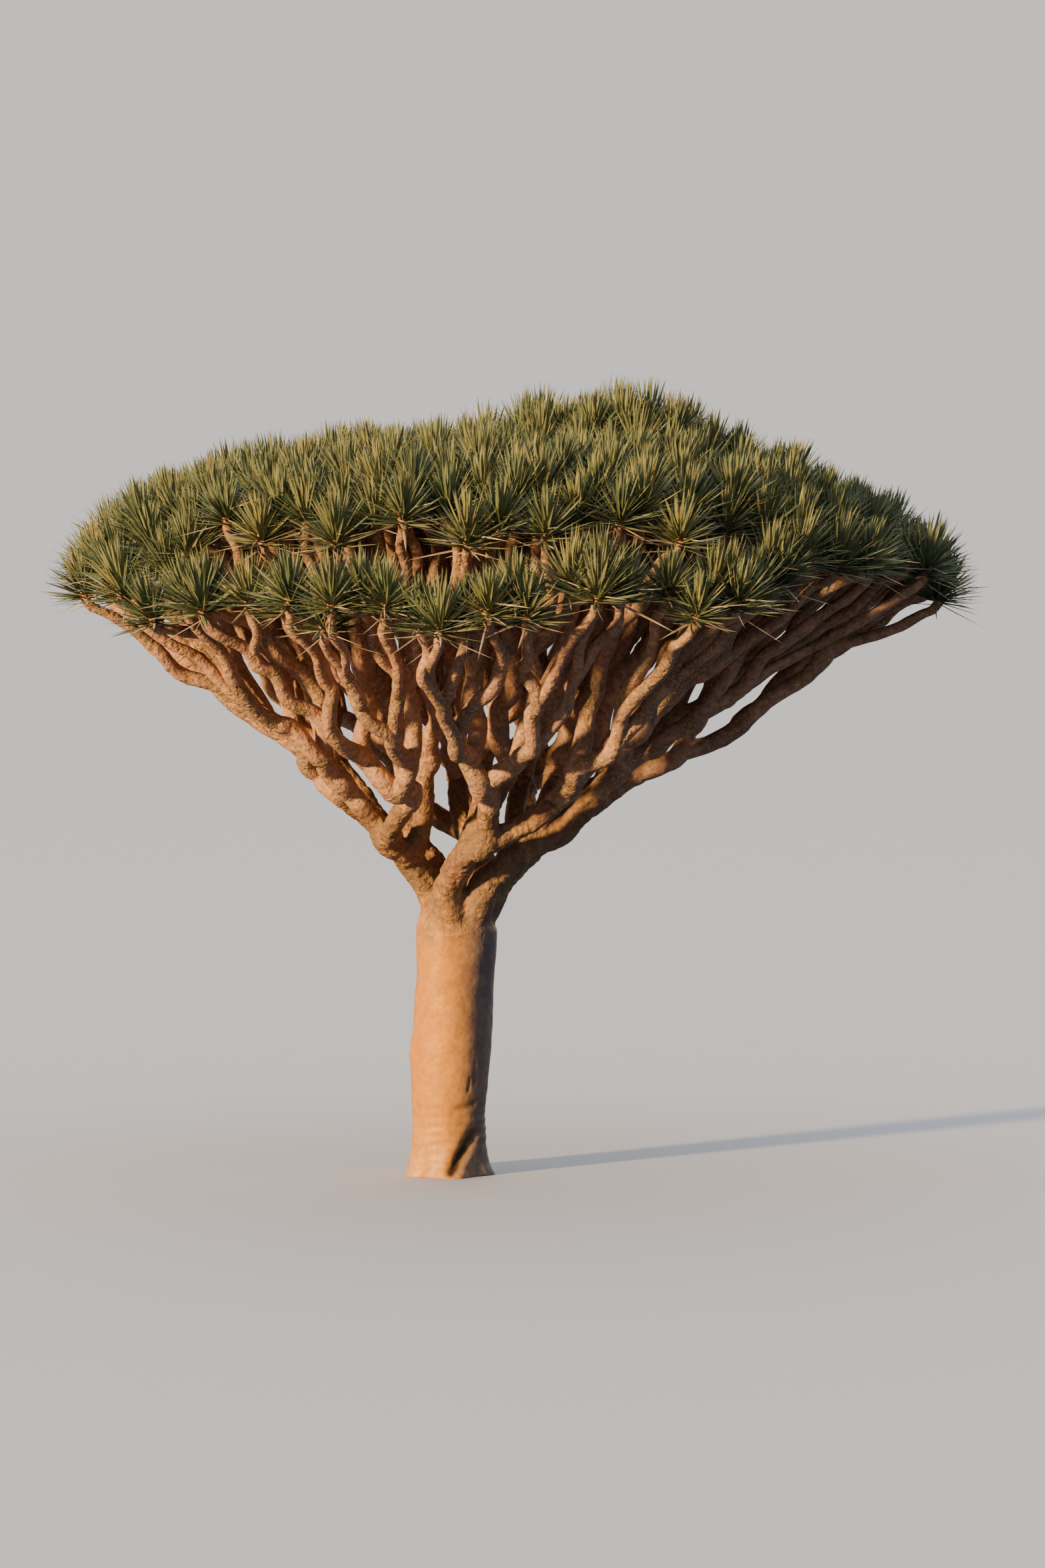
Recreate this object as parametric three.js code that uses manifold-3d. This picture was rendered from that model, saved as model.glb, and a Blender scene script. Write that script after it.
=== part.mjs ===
// Dragon blood tree: a smooth thick trunk, six boughs that fork again and again into an inverted cone,
// and a shallow dome of stiff leaf rosettes on the last twigs.
// Millimetres, +Z up. The origin is the middle of the flat cut under the trunk, at ground level.
import * as THREE from "three";
import { mergeVertices } from "three/addons/utils/BufferGeometryUtils.js";
import Module from "manifold-3d";

const wasm = await Module();
wasm.setup();
const mix = THREE.MathUtils.lerp;

// Driving dimensions of the trunk
const forkHeight = 2000;
const trunkLean = 75; // how far the fork stands to the right of the foot
const trunkRadius = 302;
const waistRadius = 276; // just above the root flare
const flareRadius = 326;
const trunkSides = 14;
const rootLobes = { count: 5, depth: 0.12, height: 460 }; // the flare's buttresses
const ridges = { count: 3, depth: 0.022, twist: 240 }; // a slight three-sidedness that turns as it climbs
const trunkProfile = [
  { height: 0, radius: flareRadius },
  { height: 90, radius: mix(flareRadius, waistRadius, 0.55) },
  { height: 240, radius: mix(flareRadius, waistRadius, 0.9) },
  { height: 460, radius: waistRadius },
  { height: 820, radius: trunkRadius },
  { height: 1180, radius: trunkRadius + 2 },
  { height: 1520, radius: trunkRadius - 4 },
  { height: 1790, radius: trunkRadius + 8 },
  { height: forkHeight, radius: trunkRadius - 42 },
  { height: forkHeight + 100, radius: 150 }, // hidden among the boughs
];
const leanFrom = trunkProfile[1].height; // the foot itself stands upright, so that its cut is level

// Driving dimensions of the crown. The dome is the surface that the foot of every rosette lies on.
const crownCentreX = 515; // the crown reaches further to the right of the trunk
const domeHalfWidth = 3345;
const domeHalfDepth = 3040;
const rimHeight = 4380;
const rimTilt = 130; // how much higher the rim is at the far right, and lower at the far left
const domeRise = 1130;
const domeLeft = { level: 3.2, edge: 0.4 }; // how level the dome's middle is, and how soft its edge is
const domeRight = { level: 1.6, edge: 0.72 };
const frontLevel = 1.6; // what the front and the back add to level
const hump = { rise: 220, at: 0.22, spread: 0.075, edge: 3 }; // the highest part, to the right of the trunk
const corner = { azimuth: -38, width: 20, cut: 0.13, lift: 220 }; // where the rim draws in, and stands higher
const lowTierRise = 130; // at the front, the rosettes of the rim stand in a low tier of their own
const tierFrom = 0.84; // which takes those beyond this share of the way to the rim
const tierInner = 0.87; // there the dome ends and the low tier begins, with bare twigs between them
const tierOuter = 0.92;
const tierDrops = 60; // how far a rosette of the low tier may stand under its place there
const tierClimbs = 200; // or over it
const edgeDrops = 130; // how far a rosette at the dome's front edge may hang under its place

// Leaf sprays. Each one stands for two or three of the tree's rosettes.
const sprayCount = 124;
const sprayWeight = 1.8; // how many rosettes a spray counts as, where its twigs fork and thin
const leafLength = 420;
const hubRadius = 160;
const leafLift = 0.34; // how much the leaves lean up towards the twig's own line
const shortestLeaf = 0.88; // as a share of the longest
const mostBend = 0.5; // of its length, that a leaf may bend to stay in its mass's space
const hangingLeavesBelow = 4950; // sprays with their foot lower than this also have leaves that hang
const hangsTo = -0.4; // the cosine of such a leaf's angle to the twig's line
const rosetteAlongTwig = 0.34; // a rosette's axis lies between its twig's last way and straight up
const rosetteUpright = 0.72;

// How limbs fork and thin: a limb is as thick, and forks as far out, as the rosettes that it carries ask
const rosettesInLife = 360;
const reachCount = 165; // a limb that carried this many would fork at the trunk's own fork
const forksWithin = 0.78; // of the way to the rosettes, beyond which the last twigs run on without a fork
const tipRadius = 40;
const thickeningPower = 0.24;
const outwardPower = 0.89;
const rootTwist = -50; // degrees by which the boughs would stand turned round the fork at its middle
const twistReach = 600; // and within which they turn back to the places they stand at in the crown
const shortestStep = 0.07; // from one fork to the next, as a share of the whole way
const forkShake = 0.022; // how far a fork strays from its place, as a share of its way from the trunk
const forkScatter = 0.4; // how much later a fork may come, as a share of the way, for a single rosette
const footStrays = 70; // a rosette stands this far off the dome's even pattern at most
const footDrops = 100; // or this far under it
const leastSplit = 0.42; // the smallest share of its rosettes that a fork gives to one side
const limbBend = 0.08; // how far a limb's middle strays, as a share of the stretch
const forkSwell = 1.12; // a limb is thicker where it leaves another
const twigBend = 0.07;
const twigWaist = 0.94; // a bent stretch is thinner in its middle
const longStretch = 600; // a twig bends once between points further apart than this
const limbSides = 8;
const twigSides = 3;
const stoutTwigs = 1.15; // a three-sided twig looks thinner than a round one
const stemLength = 90; // the stretch of a mass's stem that carries straight on from its limb
const collarDepth = 330; // how far under the fork the collars of the boughs are rooted in the trunk
const collarShoulder = 150; // the last stretch of a collar, which points straight along its bough
const clearance = 0.3; // between pieces that touch
const spaceMargin = 4; // that a mass keeps to the edge of its space
const seed = 2024;

// The six boughs, anticlockwise from the right as seen from above: where each stands round the crown's
// middle, in degrees, and how low it stays before it climbs
const boughs = [
  { side: "right", azimuth: -6, climb: 1.05 },
  { side: "back_right", azimuth: 54, climb: 1.14 },
  { side: "back_left", azimuth: 108, climb: 1.14 },
  { side: "left", azimuth: 168, climb: 1.13 },
  { side: "front_left", azimuth: 224, climb: 1.14 },
  { side: "front_right", azimuth: 290, climb: 1.14 },
];
const topBearer = "front_right"; // the bough that also carries the top of the crown
const steepClimb = 1.1; // for the limbs that rise into the inner masses
const outerRing = 0.83; // where the outer masses stand, as a share of the way to the rim
const innerRing = 0.46;
const outerSpread = 15.5; // degrees to either side of the bough
const collarShare = 0.12; // the trunk's own solid ends this far along each bough

const barkMaterial = new THREE.MeshStandardMaterial({ color: 0xb98a5e, roughness: 0.85, metalness: 0 });
const foliageMaterial = new THREE.MeshStandardMaterial({ color: 0x66733a, roughness: 0.6, metalness: 0 });

const up = new THREE.Vector3(0, 0, 1);
const fork = new THREE.Vector3(trunkLean, 0, forkHeight);
const random = seededRandom(seed);

// A repeatable sequence of numbers from 0 to 1
function seededRandom(start) {
  let state = start;
  return () => {
    state = (state * 16807) % 2147483647;
    return state / 2147483647;
  };
}

function between(low, high) {
  return mix(low, high, random());
}

// A closed three.js geometry as a solid that can be joined and cut
function solidOf(geometry) {
  const bare = geometry.clone();
  bare.deleteAttribute("normal");
  bare.deleteAttribute("uv");
  const merged = mergeVertices(bare, 1e-3);
  return new wasm.Manifold(
    new wasm.Mesh({
      numProp: 3,
      vertProperties: new Float32Array(merged.attributes.position.array),
      triVerts: new Uint32Array(merged.index.array),
    }),
  );
}

// The largest body of a solid, without the scraps that a cut leaves
function mainBody(solid) {
  return solid.decompose().reduce((largest, body) => (body.volume() > largest.volume() ? body : largest));
}

function namedMesh(name, solid, material) {
  const made = solid.getMesh();
  const geometry = new THREE.BufferGeometry();
  geometry.setAttribute("position", new THREE.BufferAttribute(new Float32Array(made.vertProperties), 3));
  geometry.setIndex(new THREE.BufferAttribute(new Uint32Array(made.triVerts), 1));
  const flat = geometry.toNonIndexed();
  flat.computeVertexNormals();
  const mesh = new THREE.Mesh(flat, material);
  mesh.name = name;
  return mesh;
}

// A normal and a binormal at each point of a line, carried along it without twisting
function framesAlong(points) {
  let carried = new THREE.Vector3(0.31, -0.95, 0.05); // no limb runs this way
  return points.map((_, i) => {
    const before = points[Math.max(i - 1, 0)];
    const after = points[Math.min(i + 1, points.length - 1)];
    const tangent = after.clone().sub(before).normalize();
    const normal = carried.clone().addScaledVector(tangent, -carried.dot(tangent)).normalize();
    carried = normal;
    return { normal, binormal: tangent.clone().cross(normal) };
  });
}

// A tapering limb with a ring at each point and square ends. The unevenness scales each ring's radius.
function limbSolid(points, radii, sides, unevenness = () => 1) {
  const geometry = new THREE.CylinderGeometry(1, 1, 1, sides, points.length - 1);
  const frames = framesAlong(points);
  const position = geometry.attributes.position;
  for (let i = 0; i < position.count; i++) {
    const ring = Math.round((0.5 - position.getY(i)) * (points.length - 1));
    const across = position.getX(i);
    const along = position.getZ(i);
    const radius = radii[ring] * unevenness(Math.atan2(along, across), ring);
    const placed = points[ring].clone();
    placed.addScaledVector(frames[ring].normal, across * radius);
    placed.addScaledVector(frames[ring].binormal, along * radius);
    position.setXYZ(i, placed.x, placed.y, placed.z);
  }
  return solidOf(geometry);
}

// How far the rim is parted from the dome: wholly at the front, and not at the sides and back
function tierStrength(u, v) {
  return v < 0 ? Math.min((1.25 * v ** 2) / (u ** 2 + v ** 2), 1) : 0;
}

// The foot of a rosette, for a place on the unit disc that stands for the crown's plan
function domePoint(u, v) {
  const toRight = (u + 1) / 2;
  const out = Math.min(Math.hypot(u, v), 1);
  const level = mix(domeLeft.level, domeRight.level, toRight) + frontLevel * v ** 2;
  const dome = (1 - out ** level) ** mix(domeLeft.edge, domeRight.edge, toRight);
  const onHump = Math.exp(-((((u - hump.at) ** 2 + v ** 2) / hump.spread) ** hump.edge));
  const aside = THREE.MathUtils.radToDeg(Math.atan2(v, u)) - corner.azimuth;
  const inCorner = Math.exp(-((aside / corner.width) ** 2));
  const domed = domeRise * dome + hump.rise * onHump;
  const lowRise = (lowTierRise * (1 - out)) / (1 - tierOuter);
  const rise = out < tierOuter ? domed : mix(domed, lowRise, tierStrength(u, v));
  const height = rimHeight + rimTilt * u + corner.lift * inCorner * out ** 4 + rise;
  const reach = 1 - corner.cut * inCorner * out;
  return new THREE.Vector3(crownCentreX + domeHalfWidth * u * reach, domeHalfDepth * v * reach, height);
}

function domePointAt(out, degrees) {
  const angle = THREE.MathUtils.degToRad(degrees);
  return domePoint(out * Math.cos(angle), out * Math.sin(angle));
}

// The share of the way from the fork to its rosettes at which a limb that carries so many forks
function shareFor(rosettes) {
  return forksWithin * (1 - Math.log(rosettes) / Math.log(reachCount));
}

function radiusFor(rosettes) {
  return tipRadius * rosettes ** thickeningPower;
}

// Where a limb that serves the rosettes round a middle point has got to
function pointOnTheWay(middle, share, climb) {
  const out = share ** outwardPower;
  return new THREE.Vector3(
    mix(fork.x, middle.x, out),
    mix(fork.y, middle.y, out),
    mix(fork.z, middle.z, share ** climb),
  );
}

// The point turned round the fork, most where it is near, so that the boughs swirl out of the trunk
function twisted(point) {
  const fromFork = point.clone().sub(fork);
  const nearness = Math.exp(-((Math.hypot(fromFork.x, fromFork.y) / twistReach) ** 2));
  return fromFork.applyAxisAngle(up, THREE.MathUtils.degToRad(rootTwist) * nearness).add(fork);
}

function middleOf(points) {
  const sum = points.reduce((total, point) => total.add(point), new THREE.Vector3());
  return sum.divideScalar(points.length);
}

// A point between two others, set a little to one side, so that limbs don't run dead straight
function bentMiddle(a, b, bend) {
  const middle = a.clone().lerp(b, 0.5);
  const reach = a.distanceTo(b) * bend;
  return middle.add(new THREE.Vector3(between(-reach, reach), between(-reach, reach), between(-reach, 0)));
}

// The masses of foliage: where each one's middle is on the dome, and which bough carries it
function plannedMasses() {
  const masses = [];
  for (const { side, azimuth, climb } of boughs) {
    masses.push({ name: side + "_1", side, climb, middle: domePointAt(outerRing, azimuth - outerSpread) });
    masses.push({ name: side + "_2", side, climb, middle: domePointAt(outerRing, azimuth + outerSpread) });
    masses.push({ name: side + "_inner", side, climb: steepClimb, middle: domePointAt(innerRing, azimuth) });
  }
  masses.push({ name: "top", side: topBearer, climb: steepClimb, middle: domePoint(0.02, 0) });
  for (const mass of masses) mass.way = mass.middle.clone().sub(fork).normalize();
  return masses;
}

const masses = plannedMasses();
const rosettesPerMass = rosettesInLife / masses.length;

// How far inside its mass's space a point is. The space is the cone of directions from the fork that
// are nearer to the mass's own than to any other's, so spaces meet in planes through the fork.
function roomAt(point, mass) {
  const fromFork = point.clone().sub(fork);
  const rooms = masses
    .filter((other) => other !== mass)
    .map((other) => mass.way.clone().sub(other.way).normalize().dot(fromFork));
  return Math.min(...rooms);
}

// The point moved into the mass's space, at least a margin from its edges
function movedInside(point, mass, margin) {
  const moved = point.clone();
  for (let turn = 0; turn < 3; turn++) {
    for (const other of masses) {
      if (other === mass) continue;
      const inward = mass.way.clone().sub(other.way).normalize();
      const short = margin - inward.dot(moved.clone().sub(fork));
      if (short > 0) moved.addScaledVector(inward, short);
    }
  }
  return moved;
}

// The limbs of one bough: the bough itself from the trunk's collar to its first outer mass, and a limb
// that leaves it for each of its other masses
function plannedBough({ side, climb }) {
  const carried = masses.filter((mass) => mass.side === side);
  const outer = carried.slice(0, 2);
  const inner = carried.slice(2);
  const toAll = middleOf(carried.slice(0, 3).map((mass) => mass.middle));
  const toOuter = middleOf(outer.map((mass) => mass.middle));
  const firstKnot = twisted(pointOnTheWay(toAll, shareFor(3 * rosettesPerMass), climb));
  const secondKnot = twisted(pointOnTheWay(toOuter, shareFor(2 * rosettesPerMass), climb));
  const collar = twisted(pointOnTheWay(toAll, collarShare, climb));
  for (const mass of carried) {
    const stemStart = pointOnTheWay(mass.middle, shareFor(rosettesPerMass), mass.climb);
    mass.stemStart = movedInside(stemStart, mass, radiusFor(rosettesPerMass) + spaceMargin);
  }
  const outward = firstKnot.clone().sub(collar).normalize();
  const thick = radiusFor(3 * rosettesPerMass);
  const middling = radiusFor(2 * rosettesPerMass);
  const thin = radiusFor(rosettesPerMass);
  const bough = {
    name: "bough_" + side,
    collar,
    outward,
    points: [
      collar.clone().addScaledVector(outward, clearance),
      firstKnot,
      bentMiddle(firstKnot, secondKnot, limbBend),
      secondKnot,
      bentMiddle(secondKnot, outer[0].stemStart, limbBend),
      outer[0].stemStart,
    ],
    radii: [thick * 1.04, thick, mix(thick, middling, 0.6), middling, mix(middling, thin, 0.7), thin],
  };
  const limbs = [outer[1], ...inner].map((mass) => {
    const knot = mass === outer[1] ? secondKnot : firstKnot;
    return {
      name: "limb_" + mass.name,
      points: [knot, bentMiddle(knot, mass.stemStart, limbBend), mass.stemStart],
      radii: [thin * forkSwell, mix(thin * forkSwell, thin, 0.7), thin],
    };
  });
  for (const limb of [bough, ...limbs]) {
    const mass = carried.find((one) => one.stemStart === limb.points.at(-1));
    mass.stemWay = limb.points.at(-1).clone().sub(limb.points.at(-2)).normalize();
  }
  return { bough, limbs };
}

// The trunk: its column from the flat cut to the fork, with a collar for the start of each bough
function trunkSolid(plans) {
  const points = trunkProfile.map(({ height }) => {
    const risen = Math.max(height - leanFrom, 0) / (forkHeight - leanFrom);
    return new THREE.Vector3(trunkLean * risen ** 1.2, 0, height);
  });
  const radii = trunkProfile.map(({ radius }) => radius);
  const unevenness = (angle, ring) => {
    const { height } = trunkProfile[ring];
    const lobed = rootLobes.depth * Math.max(1 - height / rootLobes.height, 0) ** 2;
    const ridged = ridges.depth * Math.cos(ridges.count * angle + height / ridges.twist);
    return 1 + lobed * Math.cos(rootLobes.count * angle + 0.7) + ridged;
  };
  let solid = limbSolid(points, radii, trunkSides, unevenness);
  for (const { bough } of plans) {
    const inside = fork.clone().addScaledVector(up, -collarDepth).lerp(bough.collar, 0.12);
    const shoulder = bough.collar.clone().addScaledVector(bough.outward, -collarShoulder);
    const radius = bough.radii[0];
    const collar = limbSolid(
      [inside, inside.clone().lerp(shoulder, 0.6), shoulder, bough.collar],
      [radius * 1.1, radius * 1.22, radius * 1.08, radius],
      limbSides,
    );
    solid = solid.add(collar);
  }
  return solid;
}

// How far out a rosette stands once the crown is parted into its dome and its low tier
function tieredOut(out, strength) {
  const inLowTier = (out - tierFrom) / (1 - tierFrom);
  const parted = inLowTier > 0 ? mix(tierOuter, 1, inLowTier) : (out * tierInner) / tierFrom;
  return mix(out, parted, strength);
}

// The rosettes' feet that belong to a mass: a sunflower pattern over the dome, shared out by direction
function feetOf(mass, count) {
  const goldenAngle = Math.PI * (3 - Math.sqrt(5));
  const feet = [];
  for (let k = 0; k < count; k++) {
    const u = Math.cos(k * goldenAngle);
    const v = Math.sin(k * goldenAngle);
    const out = tieredOut(Math.sqrt((k + 0.5) / count), tierStrength(u, v));
    const foot = domePoint(out * u, out * v);
    if (roomAt(foot, mass) <= 0) continue;
    const [aside, along] = [between(-footStrays, footStrays), between(-footStrays, footStrays)];
    foot.add(new THREE.Vector3(aside, along, between(-footDrops, 0)));
    if (out >= tierOuter) foot.z += tierStrength(u, v) * between(-tierDrops, tierClimbs);
    else if (out >= tierInner - 0.1) foot.z -= tierStrength(u, v) * between(0, edgeDrops);
    feet.push(movedInside(foot, mass, hubRadius + spaceMargin));
  }
  return feet;
}

// The points in two groups, on either side of the line across their longest spread
function splitInTwo(points) {
  const middle = middleOf(points);
  let xx = 0;
  let xy = 0;
  let yy = 0;
  for (const point of points) {
    xx += (point.x - middle.x) ** 2;
    xy += (point.x - middle.x) * (point.y - middle.y);
    yy += (point.y - middle.y) ** 2;
  }
  const angle = 0.5 * Math.atan2(2 * xy, xx - yy);
  const along = (point) => point.x * Math.cos(angle) + point.y * Math.sin(angle);
  const sorted = [...points].sort((a, b) => along(a) - along(b));
  const half = Math.round(points.length * between(leastSplit, 1 - leastSplit));
  const first = Math.min(Math.max(half, 1), points.length - 1);
  return [sorted.slice(0, first), sorted.slice(first)];
}

// A spray of leaves: a small hub whose upper faces are each drawn out into a long pointed leaf.
// A leaf that would leave its mass's space is bent back into it, and left off if it would bend too far.
function spraySolid(foot, axis, mass) {
  const hub = new THREE.IcosahedronGeometry(hubRadius, 0);
  const corner = new THREE.Vector3().fromBufferAttribute(hub.attributes.position, 0).normalize();
  const turn = new THREE.Quaternion().setFromUnitVectors(corner, axis);
  turn.premultiply(new THREE.Quaternion().setFromAxisAngle(axis, between(0, Math.PI)));
  hub.applyQuaternion(turn).translate(foot.x, foot.y, foot.z);
  const lowest = foot.z < hangingLeavesBelow ? hangsTo : 0;
  const corners = [];
  const { position } = hub.attributes;
  for (let i = 0; i < position.count; i += 3) {
    const [a, b, c] = [0, 1, 2].map((k) => new THREE.Vector3().fromBufferAttribute(position, i + k));
    const facing = middleOf([a, b, c]).sub(foot).normalize();
    const way = facing.clone().addScaledVector(axis, leafLift).normalize();
    const length = leafLength * between(shortestLeaf, 1);
    const straight = foot.clone().addScaledVector(way, length);
    const tip = movedInside(straight, mass, spaceMargin);
    const grows = facing.dot(axis) > lowest && tip.distanceTo(straight) < mostBend * length;
    if (grows) corners.push(a, b, tip, b, c, tip, c, a, tip);
    else corners.push(a, b, c);
  }
  return solidOf(new THREE.BufferGeometry().setFromPoints(corners));
}

// Adds a bent middle to a twig before its next point, where that is a long way off
function addBend(points, radii, next, mass) {
  const last = points.at(-1);
  if (last.distanceTo(next) < longStretch) return;
  const radius = radii.at(-1);
  points.push(movedInside(bentMiddle(last, next, twigBend), mass, radius + spaceMargin));
  radii.push(radius * twigWaist);
}

// The twigs and sprays of a mass. A twig runs on through its forks to one rosette, and each group of
// rosettes that it leaves at a fork gets a twig of its own.
function growTwigs(feet, start, startShare, mass, solids) {
  const points = [...start];
  const radii = start.map(() => radiusFor(feet.length * sprayWeight));
  let carried = feet;
  let share = startShare;
  while (carried.length > 1) {
    const count = carried.length * sprayWeight;
    const scatter = (forkScatter * random()) / count;
    share = Math.max(shareFor(count) + scatter, share + shortestStep);
    const knot = pointOnTheWay(middleOf(carried), share, mass.climb);
    const shake = forkShake * knot.distanceTo(fork);
    knot.add(new THREE.Vector3(between(-shake, shake), between(-shake, shake), between(-shake, shake)));
    const radius = radiusFor(count);
    addBend(points, radii, knot, mass);
    points.push(movedInside(knot, mass, radius + spaceMargin));
    radii.push(radius);
    const [goesOn, leaves] = splitInTwo(carried);
    growTwigs(leaves, [points.at(-1)], share, mass, solids);
    carried = goesOn;
  }
  const foot = carried[0];
  const lastWay = foot.clone().sub(points.at(-1)).normalize();
  const axis = lastWay.multiplyScalar(rosetteAlongTwig).addScaledVector(up, rosetteUpright).normalize();
  addBend(points, radii, foot, mass);
  points.push(foot);
  radii.push(radiusFor(sprayWeight));
  const stoutRadii = radii.map((radius) => radius * stoutTwigs);
  if (start.length > 1) stoutRadii[0] = radiusFor(rosettesPerMass);
  solids.push(limbSolid(points, stoutRadii, twigSides), spraySolid(foot, axis, mass));
}

function massSolid(mass) {
  const stem = [
    mass.stemStart.clone().addScaledVector(mass.stemWay, clearance),
    mass.stemStart.clone().addScaledVector(mass.stemWay, stemLength),
  ];
  const solids = [];
  growTwigs(feetOf(mass, sprayCount), stem, shareFor(rosettesPerMass), mass, solids);
  return mainBody(wasm.Manifold.union(solids));
}

const group = new THREE.Group();
const plans = boughs.map(plannedBough);
group.add(namedMesh("trunk", trunkSolid(plans), barkMaterial));
for (const { bough, limbs } of plans) {
  group.add(namedMesh(bough.name, limbSolid(bough.points, bough.radii, limbSides), barkMaterial));
  const standing = [bough];
  for (const limb of limbs) {
    let solid = limbSolid(limb.points, limb.radii, limbSides);
    for (const { points, radii } of standing) {
      const grown = radii.map((radius) => radius + 2 * clearance);
      solid = solid.subtract(limbSolid(points, grown, limbSides));
    }
    standing.push(limb);
    group.add(namedMesh(limb.name, mainBody(solid), barkMaterial));
  }
}
for (const mass of masses) group.add(namedMesh("foliage_" + mass.name, massSolid(mass), foliageMaterial));

export default group;
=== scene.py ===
# Dragon blood tree: its bark, twigs and leaf rosettes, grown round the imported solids.
# Metres, +Z up. The origin is the middle of the flat cut under the trunk, at ground level.
import math

import bmesh
import bpy
import numpy as np
from mathutils import Matrix, Vector, noise


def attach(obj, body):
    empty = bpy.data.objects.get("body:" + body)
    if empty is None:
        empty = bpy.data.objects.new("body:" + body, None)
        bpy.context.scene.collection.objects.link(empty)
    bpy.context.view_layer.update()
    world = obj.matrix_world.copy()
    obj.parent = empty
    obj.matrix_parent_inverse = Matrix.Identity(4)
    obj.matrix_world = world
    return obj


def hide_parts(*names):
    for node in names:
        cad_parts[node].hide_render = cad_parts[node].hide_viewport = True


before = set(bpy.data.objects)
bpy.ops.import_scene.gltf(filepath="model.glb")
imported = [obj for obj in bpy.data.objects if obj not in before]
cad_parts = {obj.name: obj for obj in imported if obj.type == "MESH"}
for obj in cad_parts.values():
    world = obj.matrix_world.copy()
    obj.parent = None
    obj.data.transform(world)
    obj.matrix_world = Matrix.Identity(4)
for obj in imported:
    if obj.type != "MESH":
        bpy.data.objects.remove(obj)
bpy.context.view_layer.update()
scene = bpy.context.scene
up = Vector((0, 0, 1))
goldenAngle = math.pi * (3 - math.sqrt(5))
print("frame loaded:", len(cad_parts), "solids")


# Small helpers
def mix(a, b, share):
    return a + (b - a) * share


def clamped(value, low=0, high=1):
    return max(low, min(high, value))


def bell(distance):  # 1 at no distance, and next to nothing beyond 2
    return math.exp(-(distance ** 2))


def repeatableNumbers(start):  # from 0 to 1, the same on every run
    multiplier, modulus = 16807, 2147483647
    state = start
    while True:
        state = state * multiplier % modulus
        yield state / modulus


def randomShift(sideways, lowest, highest, numbers):
    ranges = ((-sideways, sideways), (-sideways, sideways), (lowest, highest))
    return Vector([mix(low, high, next(numbers)) for low, high in ranges])


def middleOf(points):
    return sum(points, Vector()) / len(points)


def newPiece(name, mesh, slot, *replaced):
    piece = bpy.data.objects.new(name, mesh)
    scene.collection.objects.link(piece)
    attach(piece, "root")
    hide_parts(*replaced)
    return piece


# The crown's own measures and its rule of growth, the same as the solids have
crown = {
    "forkHeight": 2.0,
    "trunkLean": 0.075,
    "centreX": 0.515,
    "halfWidth": 3.345,
    "halfDepth": 3.04,
    "rimHeight": 4.38,
    "rimTilt": 0.13,  # how much higher the rim is at the far right, and lower at the far left
    "domeRise": 1.13,
    "level": (3.2, 1.6),  # how level the dome's middle is, to the left and to the right
    "frontLevel": 1.6,  # what the front and the back add to that
    "edge": (0.4, 0.72),  # how soft the dome's edge is, to the left and to the right
    "humpRise": 0.22,
    "humpAt": 0.22,
    "humpSpread": 0.075,
    "humpEdge": 3,
    "cornerAzimuth": -38,  # where the rim draws in, and stands higher
    "cornerWidth": 20,
    "cornerCut": 0.13,
    "cornerLift": 0.22,
    "lowTierRise": 0.13,
    "tierWidth": 1.25,
    "tierFrom": 0.84,  # rosettes further out than this make the low tier at the front
    "tierInner": 0.87,  # there the dome ends
    "tierOuter": 0.92,  # and there the low tier begins
    "tierDrops": 0.06,
    "tierClimbs": 0.2,
    "edgeDrops": 0.13,
    "edgeWidth": 0.1,
    "outerRing": 0.83,
    "innerRing": 0.46,
    "outerSpread": 15.5,
    "topAt": (0.02, 0),
    "topBearer": "front_right",
    "steepClimb": 1.1,
}
growth = {
    "rosettes": 360,
    "reachCount": 165,  # a limb that carried this many would fork at the trunk's own fork
    "forksWithin": 0.78,  # of the way to the rosettes
    "forkScatter": 0.4,
    "tipRadius": 0.04,
    "thickening": 0.24,  # a limb's radius follows this power of the rosettes that it carries
    "outward": 0.89,
    "rootTwist": -50,  # degrees
    "twistReach": 0.6,
    "shortestStep": 0.07,  # from one fork to the next, as a share of the whole way
    "leastSplit": 0.42,  # the smallest share of its rosettes that a fork gives to one side
    "limbBend": 0.08,
    "footStrays": 0.07,
    "footDrops": 0.1,
    "footMargin": 0.06,
    "rosetteAlongTwig": 0.34,
    "rosetteUpright": 0.72,
    "collarShare": 0.12,
    "collarDepth": 0.33,
    "collarShoulder": 0.15,
    "spaceMargin": 0.004,
    "seed": 2024,
}
boughs = [
    {"side": "right", "azimuth": -6, "climb": 1.05},
    {"side": "back_right", "azimuth": 54, "climb": 1.14},
    {"side": "back_left", "azimuth": 108, "climb": 1.14},
    {"side": "left", "azimuth": 168, "climb": 1.13},
    {"side": "front_left", "azimuth": 224, "climb": 1.14},
    {"side": "front_right", "azimuth": 290, "climb": 1.14},
]
fork = Vector((crown["trunkLean"], 0, crown["forkHeight"]))
limbNumbers = repeatableNumbers(growth["seed"])


def tierStrength(u, v):  # how far the rim is parted from the dome: wholly at the front, and not at the back
    return min(crown["tierWidth"] * v ** 2 / (u ** 2 + v ** 2), 1) if v < 0 else 0


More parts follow.
